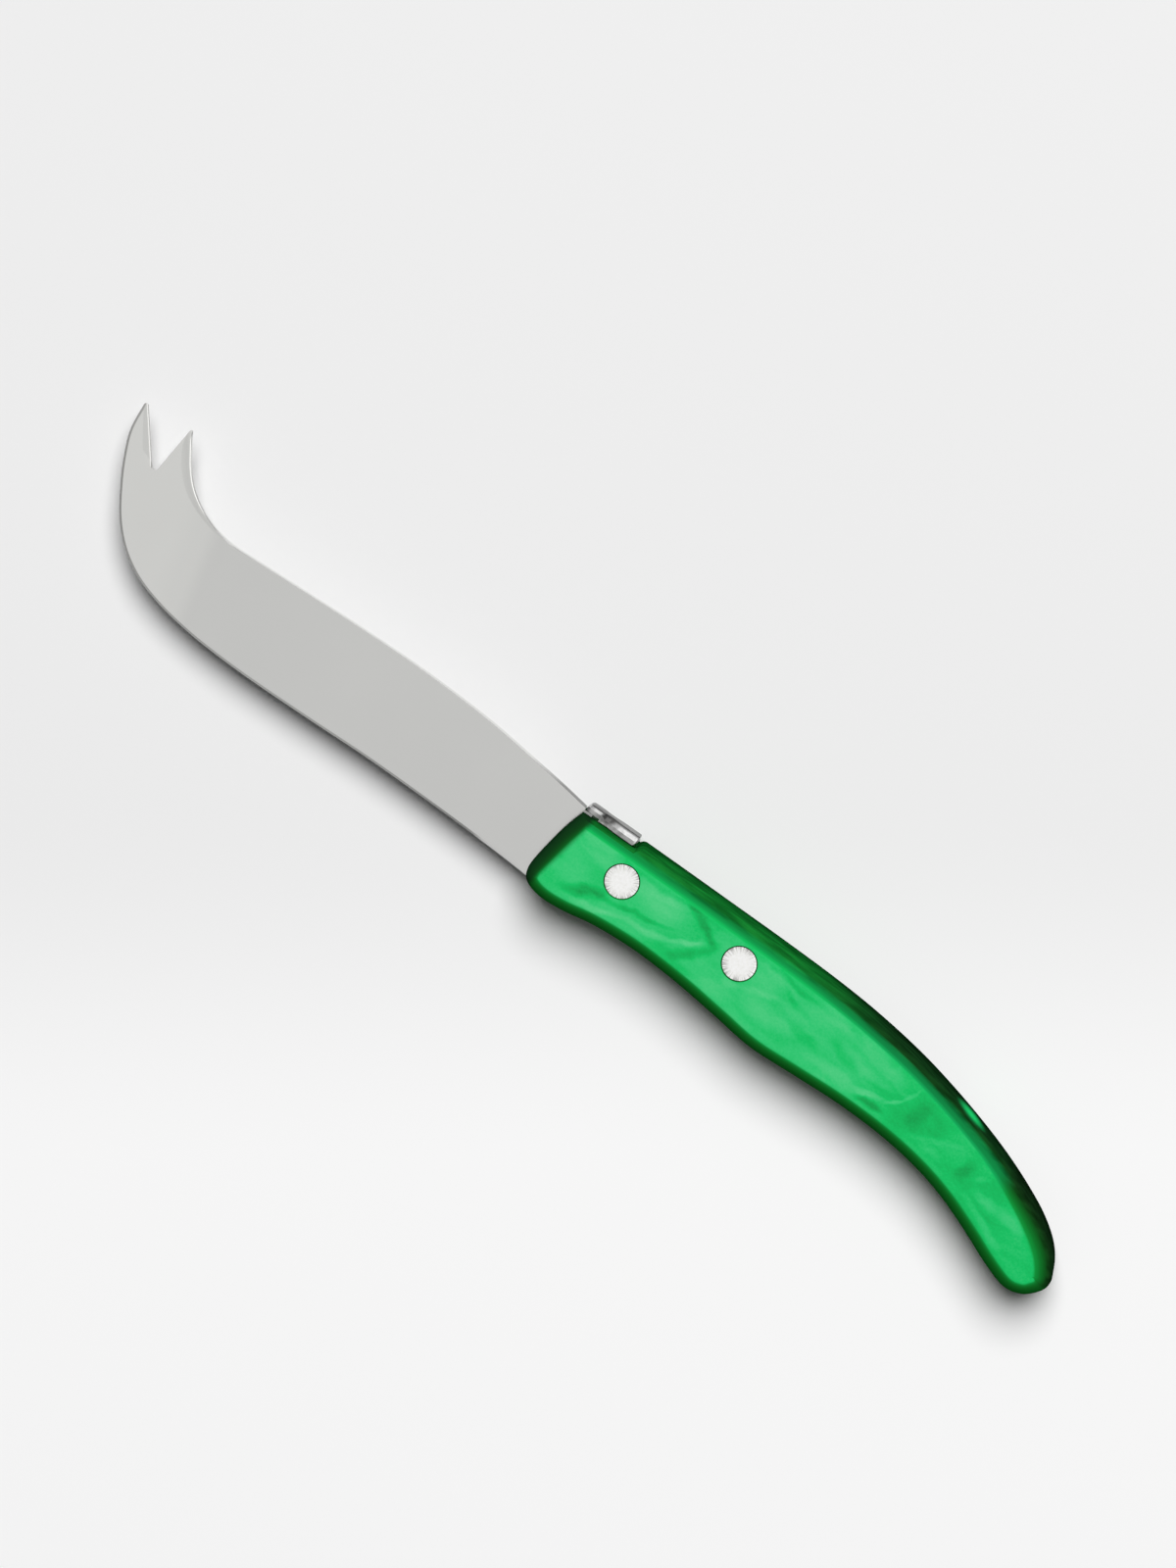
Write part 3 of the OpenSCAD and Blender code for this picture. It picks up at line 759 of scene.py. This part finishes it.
# %% The bores, each with a recess for a head and a broken edge
BREAK = 0.12
hole_r, recess_r, seat = TUBE_R + BORE_GAP, HEAD_R + BORE_GAP, HALF_T - HEAD_T
half_bore = [(hole_r, seat), (recess_r, seat), (recess_r, HALF_T - BREAK),
             (recess_r + BREAK + OVER, HALF_T + OVER), (0, HALF_T + OVER)]
bore = [(radius, -height) for radius, height in reversed(half_bore)] + half_bore
for x in (0, RIVET_PITCH):
    work(handle, rough("bore_tool", turned(bore, x)))
finish(handle, "handle", acrylic, 14.0)

# %% [markdown]
# ## The blade
# A blade is stamped from sheet and ground on both faces. Its section changes all the way:
# full thickness at the heel, thinner towards the hook, with a narrow sharpened strip along
# the edge and a bevel that grows along the hollow side of the hook. So the blade is a stack
# of rings like the handle, but here one ring stands for one place along the blade.

# %% One ring of the blade
# The width of the strip, the greatest width of the bevel, the thickness of the sharp edge
EDGE_W, BEVEL_W, RIM = 0.45, 2.0, 0.07
# How far before the bevel one more point lies, which keeps the start of the bevel crisp
CRISP = 0.1
# How the bevel falls, from its start to the spine: share of its width, share of its depth
FALL = [(0, 0), (0.08, 0.035), (0.4, 0.2), (0.7, 0.37), (0.8, 0.46), (0.92, 0.72), (1, 1)]


def blade_ring(edge, spine, strip_t, body_t, bevel, rim_t):
    """From the edge over the upper face to the spine, and back over the lower face."""
    inward = (spine - edge).normalized()
    start = BEVEL_W * bevel
    drop = body_t - rim_t
    before = 1 - CRISP / ((spine - edge).length - start - EDGE_W)
    places = [(edge, RIM), (edge + inward * EDGE_W, strip_t)]
    places += [(spine - inward * (start + CRISP), strip_t + (body_t - strip_t) * before)]
    places += [(spine - inward * start * (1 - far), body_t - drop * fall) for far, fall in FALL]
    return ([Vector((p.x, p.y, t * half_blade)) for p, t in places]
            + [Vector((p.x, p.y, -t * half_blade)) for p, t in reversed(places)])


# %% The loft
columns = [smooth_line([Vector(pair) for pair in column], SHORT_STEPS) for column in zip(*BLADE)]
rings = []
for edge, spine, (body_t, strip_t), (bevel, rim_t) in zip(*columns):
    rings.append(blade_ring(on_blade(edge), on_blade(spine), strip_t, body_t, bevel, rim_t))
blade = rough("blade_body", stack(rings))
print(f"{len(rings)} rings of {len(rings[0])} points along the blade")

# %% [markdown]
# The tang is the same stock, pushed into the handle and held by both rivets. The fork is a
# sawn notch, and the outer prong is ground thin on its notch side.

# %% The tang and its holes
tang_line = tang_outline(HEEL_LOW.x - EDGE_W, HEEL_LOW.y + EDGE_W, NOTCH_Y, 0)
tang_half = half_blade - SLOT_GAP
work(blade, rough("tang", prism(tang_line, -tang_half, tang_half)), "UNION")
through = half_blade + OVER
hole = [(0, -through), (hole_r, -through), (hole_r, through), (0, through)]
for x in (0, RIVET_PITCH):
    work(blade, rough("hole_tool", turned(hole, x)))
print(f"the tang is {2 * tang_half:.2f} mm thick, with holes of {2 * hole_r:.2f} mm")

# %% The notch between the prongs
# Each wall is given by two points. The tool follows it twice as far, out past the tips
OUTER_WALL = [on_blade((0.928, 0.6)), on_blade((0.991, 1.066))]
INNER_WALL = [on_blade((0.9195, 0.604)), on_blade((0.91, 1.09))]
outer_end, inner_end = [2 * end - start for start, end in (OUTER_WALL, INNER_WALL)]
fork_line = [OUTER_WALL[0], INNER_WALL[0], inner_end, outer_end]
work(blade, rough("fork_tool", prism(fork_line, -through, through)))
print(f"the notch is {(OUTER_WALL[1] - INNER_WALL[1]).length:.2f} mm wide at the tips")

# %% The bevel on the outer prong
# Across the wall: mm from the wall, half of the thickness that is left there
WALL_BEVEL = [(-0.6, 0.02), (0, 0.06), (0.12, 0.13), (0.3, 0.19), (1.2, 0.305), (1.8, 0.385)]
# It starts further along, the further it lies from the wall, and sinks in over a run-out from
# a shallow start
RUN, RUN_OUT, SHALLOW = 1.6, 1.0, 0.36
section = WALL_BEVEL + [(WALL_BEVEL[-1][0], BLADE_T), (WALL_BEVEL[0][0], BLADE_T)]
wall = OUTER_WALL[1] - OUTER_WALL[0]
onto_wall = (Matrix.Translation((*OUTER_WALL[0], 0))
             @ Matrix.Rotation(math.atan2(wall.y, wall.x), 4, "Z"))
for side in (1, -1):
    bm = stack([[(max(y, 0) * RUN, y, max(z, SHALLOW)) for y, z in section],
                [(max(y, 0) * RUN + RUN_OUT, y, z) for y, z in section],
                [(2 * wall.length, y, z) for y, z in section]])
    bmesh.ops.transform(bm, matrix=Matrix.Diagonal((1, 1, side, 1)) @ onto_wall, verts=bm.verts)
    bmesh.ops.recalc_face_normals(bm, faces=bm.faces)
    work(blade, rough("bevel_tool", bm))

# %% The tips
# Half of the turn that a rounded tip makes, in degrees, and its steps
TIP_TURN, TIP_STEPS = 66, 12


def round_point(centre, radius, turn):
    """Rounds the end of a prong that points along turn, in degrees."""
    first, last = math.radians(turn - TIP_TURN), math.radians(turn + TIP_TURN)
    inner = arc(centre, radius, first, last, TIP_STEPS)
    outer = arc(centre, radius + OVER, last, first, TIP_STEPS)
    work(blade, rough("point_tool", prism(inner + outer, -through, through)))


# Each tip: the middle of its rounding in mm, its radius, and the way it points in degrees
for centre, radius, turn in (((-118.52, 20.1), 0.48, 111), ((-109.18, 20.88), 0.3, 100)):
    round_point(centre, radius, turn)
finish(blade, "blade", steel, 4.5)

# %% [markdown]
# ## The plate on the back
# Knives of this family carry a small waisted plate where the blade meets the handle. It is a
# thick stamping with soft shoulders. The outline is drawn once, and the plate grows from it
# as a wall, a shoulder and a rounded top. Its front is raised to a nose with a hollow under
# it, and below it has a foot that stands on the tang.

# %% The waisted outline, as shares of the plate's length and half width
FLY = [
    (0, 0), (0.006, 0.5), (0.025, 0.8), (0.07, 0.94), (0.15, 0.99), (0.25, 0.97), (0.34, 0.84),
    (0.42, 0.78), (0.5, 0.86), (0.58, 0.97), (0.68, 1), (0.84, 1), (0.92, 0.985), (0.965, 0.91),
    (0.99, 0.75), (1, 0.5), (1, 0)]
half_line = smooth_line([Vector((x * FLY_LEN, y * FLY_W / 2)) for x, y in FLY], SHORT_STEPS)
fly_line = half_line + [Vector((p.x, -p.y)) for p in reversed(half_line[1:-1])]
print(f"{len(fly_line)} points on the plate's outline")

# %% The plate grows from its outline
# How far the plate stands above the bottom of the notch, and its thickness
FLY_LIFT, FLY_T = 0.3, 1.9
# Each ring: how far it lies inside the outline, its height, how much higher its nose is
FLY_RINGS = [(0, 0, 0), (0.1, 0.78, 0.37), (0.36, 1.42, 0.25), (0.5, 1.68, 0.1), (0.62, 1.82, 0.04),
             (0.8, FLY_T, 0)]
NOSE_END, NOSE_BLEND = 3.2, 0.7
# The rear end stands steeper than the sides: it moves in by this share less
STEEPER = 0.6


def nose(x):
    """1 at the nose and 0 behind it, with a soft change between."""
    share = min(max((NOSE_END + NOSE_BLEND - x) / NOSE_BLEND, 0), 1)
    return share * share * (3 - 2 * share)


rings = []
for far, height, more in FLY_RINGS:
    rings.append([(p.x + STEEPER * far * p.x / FLY_LEN, p.y, height + more * nose(p.x))
                  for p in moved_in(fly_line, far)])
fly = rough("fly_plate_body", stack(rings))

# %% The hollow and the foot
HOLLOW_LEN, HOLLOW_H = 3.0, 0.42
# The foot: how much shorter it is at each end, and how far it goes up into the plate
FOOT_INSET, FOOT_IN = 1.6, 0.2
hollow = block((-OVER, -FLY_W, -HOLLOW_H), (HOLLOW_LEN, FLY_W, HOLLOW_H))
work(fly, rough("nose_tool", hollow))
foot = block((FOOT_INSET, -tang_half, SEAT_GAP - FLY_LIFT),
             (FLY_LEN - FOOT_INSET, tang_half, SEAT_GAP + FOOT_IN))
work(fly, rough("foot", foot), "UNION")
fly_x = (fly_low[0] - middle.x) / MM
upright = Matrix.Rotation(-math.pi / 2, 4, "X")
fly.data.transform(Matrix.Translation((fly_x, NOTCH_Y + FLY_LIFT, 0)) @ upright)
finish(fly, "fly_plate", tumbled, 14.0)

# %% [markdown]
# ## The rivets
# A cutler's rivet is two halves. The upper one has a solid pin, the lower one a tube that the
# pin is pressed into, and each has a round head that is ground flush with the handle. All of
# it is turned work, so each half is a section that spins round its axis.

# %% The section of a head
# How far the face falls to its rim, and how round the rim is
DOME, ROUND = 0.08, 0.14
RIM_STEPS = 4


def head_section(inner):
    """From where the shank meets the head to the middle of its face."""
    rim = arc((HEAD_R - ROUND, HALF_T - DOME - ROUND), ROUND, 0, math.pi / 2, RIM_STEPS)
    dome = [(HEAD_R * share, HALF_T - DOME * share ** 2) for share in (0.8, 0.6, 0.4, 0.2, 0)]
    return [(inner, seat), (HEAD_R, seat)] + rim + dome


print(len(head_section(PIN_R)), "points in the section of a head")

# %% Pins and tubes
shank = seat - END_GAP
inside = PIN_R + PIN_GAP
pin = [(0, -shank), (PIN_R, -shank)] + head_section(PIN_R)
tube = [(0, -seat), (inside, -seat), (inside, shank), (TUBE_R, shank)]
tube += [(radius, -height) for radius, height in head_section(TUBE_R)]
for name, x in (("front", 0), ("rear", RIVET_PITCH)):
    shine = set_aluminium(f"aluminium_{name}_rivet", x)
    for half, section in (("pin", pin), ("tube", tube)):
        piece = rough(f"rivet_{name}_{half}_body", turned(section, x))
        finish(piece, f"rivet_{name}_{half}", shine)

# %% [markdown]
# ## The floor, the light and the camera
# The knife was photographed on a pale sweep under a broad soft light from the upper right,
# with the camera almost straight above, leaning a little towards the spine.

# %% The floor
# Half of the floor's size in m, its gap below the knife in mm, and the way, seen from above,
# in which it gets a little paler
FLOOR_HALF, FLOOR_GAP = 3.0, 0.01
PALE_WAY = (0.574, -0.802, 0)


def sweep_floor():
    bm = bmesh.new()
    bmesh.ops.create_grid(bm, x_segments=1, y_segments=1, size=FLOOR_HALF)
    bmesh.ops.translate(bm, vec=(0, 0, -FLOOR_GAP * MM), verts=bm.verts)
    floor = rough("floor", bm)
    material, tree = new_material("pale_sweep")
    place = add(tree, "ShaderNodeTexCoord").outputs["Object"]
    toward = add(tree, "ShaderNodeVectorMath", {0: place, 1: PALE_WAY},
                 operation="DOT_PRODUCT").outputs["Value"]
    toward = add(tree, "ShaderNodeMapRange", {
        "Value": toward, "From Min": -8 * MM, "From Max": 60 * MM},
        interpolation_type="SMOOTHSTEP").outputs[0]
    shade = add(tree, "ShaderNodeValToRGB", {"Fac": toward}, stops=[
        (0.0, "#ededed"), (1.0, "#fafafa")]).outputs["Color"]
    shader = add(tree, "ShaderNodeBsdfPrincipled", {
        "Base Color": shade, "Roughness": 0.9, "Specular IOR Level": 0.0})
    add(tree, "ShaderNodeOutputMaterial", {"Surface": shader.outputs["BSDF"]})
    floor.data.materials.append(material)
    return floor


floor = sweep_floor()
print("the floor is", " x ".join(f"{d:.0f}" for d in floor.dimensions[:2]), "m")

# %% The light
# Two angles in degrees, two lengths in m and the power in W
KEY_TILT, KEY_TURN, KEY_FAR, KEY_SIZE, KEY_POWER = 35.0, 105.0, 5.0, 3.6, 306.0


def direction(tilt, turn):
    """The way to a place tilt degrees off the zenith, turn degrees round from X."""
    tilt, turn = math.radians(tilt), math.radians(turn)
    return Vector((math.sin(tilt) * math.cos(turn), math.sin(tilt) * math.sin(turn), math.cos(tilt)))


aim = direction(KEY_TILT, KEY_TURN)
lamp = bpy.data.lights.new("soft_box", "AREA")
lamp.shape, lamp.size, lamp.energy = "DISK", KEY_SIZE, KEY_POWER
key = bpy.data.objects.new("soft_box", lamp)
key.matrix_world = Matrix.Translation(aim * KEY_FAR) @ aim.to_track_quat("Z", "Y").to_matrix().to_4x4()
key.visible_glossy = False
bpy.context.scene.collection.objects.link(key)
print(f"a lamp of {KEY_SIZE} m and {KEY_POWER:.0f} W, {KEY_FAR} m away")

# %% [markdown]
# Ground steel shows what stands round it more than it shows the lamp. In a studio that is a
# white tent, so the world is painted as that tent. It is bright overhead and grey near the
# horizon, and dimmer to the left and the right. A narrow dimmer band overhead is where the
# camera looks in, and one bright strip stands half way up on the right. Glossy rays see it
# at full strength, and dull surfaces get a tenth of its light. The camera sees a plain pale
# ground instead.

# %% The tent
RIGHT, STRIP_WAY = direction(90, 35), direction(90, 30)
world = bpy.data.worlds.new("studio")
bpy.context.scene.world = world
world.use_nodes = True
tree = world.node_tree
tree.nodes.clear()
ray = add(tree, "ShaderNodeTexCoord").outputs["Generated"]
aside = add(tree, "ShaderNodeVectorMath", {0: ray, 1: RIGHT}, operation="DOT_PRODUCT").outputs["Value"]
aside = add(tree, "ShaderNodeMapRange", {"Value": aside, "From Min": -1.0}).outputs[0]
panel = add(tree, "ShaderNodeValToRGB", {"Fac": aside}, stops=[
    (0.0, 0.5), (0.2, 0.7), (0.38, 0.96), (0.46, 1.0), (0.488, 0.73), (0.506, 0.75), (0.535, 0.9),
    (0.6, 0.98), (0.7, 0.85), (1.0, 0.45)]).outputs["Color"]
high = add(tree, "ShaderNodeSeparateXYZ", {0: ray}).outputs["Z"]
upward = add(tree, "ShaderNodeValToRGB", {"Fac": high}, stops=[
    (0.0, 0.4), (0.5, 0.85), (0.8, 1.0)]).outputs["Color"]
tent = add(tree, "ShaderNodeMix", {"Factor": 1.0, "A": panel, "B": upward},
           data_type="RGBA", blend_type="MULTIPLY").outputs["Result"]
print(len(tree.nodes), "nodes in the tent")

# %% The bright strip
arch = add(tree, "ShaderNodeValToRGB", {"Fac": high}, stops=[
    (0.68, 0.0), (0.74, 1.0), (0.89, 1.0), (0.925, 0.0)]).outputs["Color"]
near = add(tree, "ShaderNodeVectorMath", {0: ray, 1: STRIP_WAY}, operation="DOT_PRODUCT").outputs["Value"]
near = add(tree, "ShaderNodeMapRange", {"Value": near, "From Min": 0.12, "From Max": 0.3, "To Max": 0.9},
           interpolation_type="SMOOTHSTEP").outputs[0]
tent = add(tree, "ShaderNodeMix", {"Factor": near, "A": tent, "B": arch},
           data_type="RGBA", blend_type="ADD", clamp_factor=False).outputs["Result"]
print(len(tree.nodes), "nodes with the strip")

# %% What each kind of ray sees
# The share of the tent's light that dull surfaces get
DIM = 0.1
path = add(tree, "ShaderNodeLightPath").outputs
tent = add(tree, "ShaderNodeMix", {"Factor": path["Is Camera Ray"], "A": tent, "B": colour("#f4f4f4")},
           data_type="RGBA").outputs["Result"]
seen = path["Is Camera Ray"]
for kind in ("Is Glossy Ray", "Is Transmission Ray"):
    seen = add(tree, "ShaderNodeMath", {0: seen, 1: path[kind]}, operation="MAXIMUM").outputs[0]
level = add(tree, "ShaderNodeMapRange", {"Value": seen, "To Min": DIM, "To Max": 1.0}).outputs[0]
glow = add(tree, "ShaderNodeBackground", {"Color": tent, "Strength": level})
add(tree, "ShaderNodeOutputWorld", {"Surface": glow.outputs["Background"]})
print(len(tree.nodes), "nodes in the world")

# %% The camera
# Lens and sensor in mm, and the height of what the picture shows
LENS, SENSOR = 135.0, 36.0
FRAME_HEIGHT = 280.0 * MM
LEAN, ROLL = math.radians(12), math.radians(35)
# The middle of the picture, in mm from the front rivet
AIM = (-14.95, 10.85)
across = Vector((1, 0, 0))
along_spine = Vector((0, math.cos(LEAN), -math.sin(LEAN)))
right = across * math.cos(ROLL) + along_spine * math.sin(ROLL)
up_axis = along_spine * math.cos(ROLL) - across * math.sin(ROLL)
back = Vector((0, math.sin(LEAN), math.cos(LEAN)))
target = middle + Vector((0, 0, HALF_T * MM)) + (across * AIM[0] + along_spine * AIM[1]) * MM
view = bpy.data.cameras.new("camera")
view.sensor_fit, view.sensor_height, view.lens = "VERTICAL", SENSOR, LENS
view.clip_start, view.clip_end = 0.05, 20.0
camera = bpy.data.objects.new("camera", view)
camera.matrix_world = Matrix.Translation(target + back * FRAME_HEIGHT * LENS / SENSOR) @ Matrix(
    (right, up_axis, back)).transposed().to_4x4()
bpy.context.scene.collection.objects.link(camera)
bpy.context.scene.camera = camera
bpy.context.scene.view_settings.view_transform = "Standard"
print(f"the camera stands {camera.matrix_world.translation.z:.2f} m above the floor")
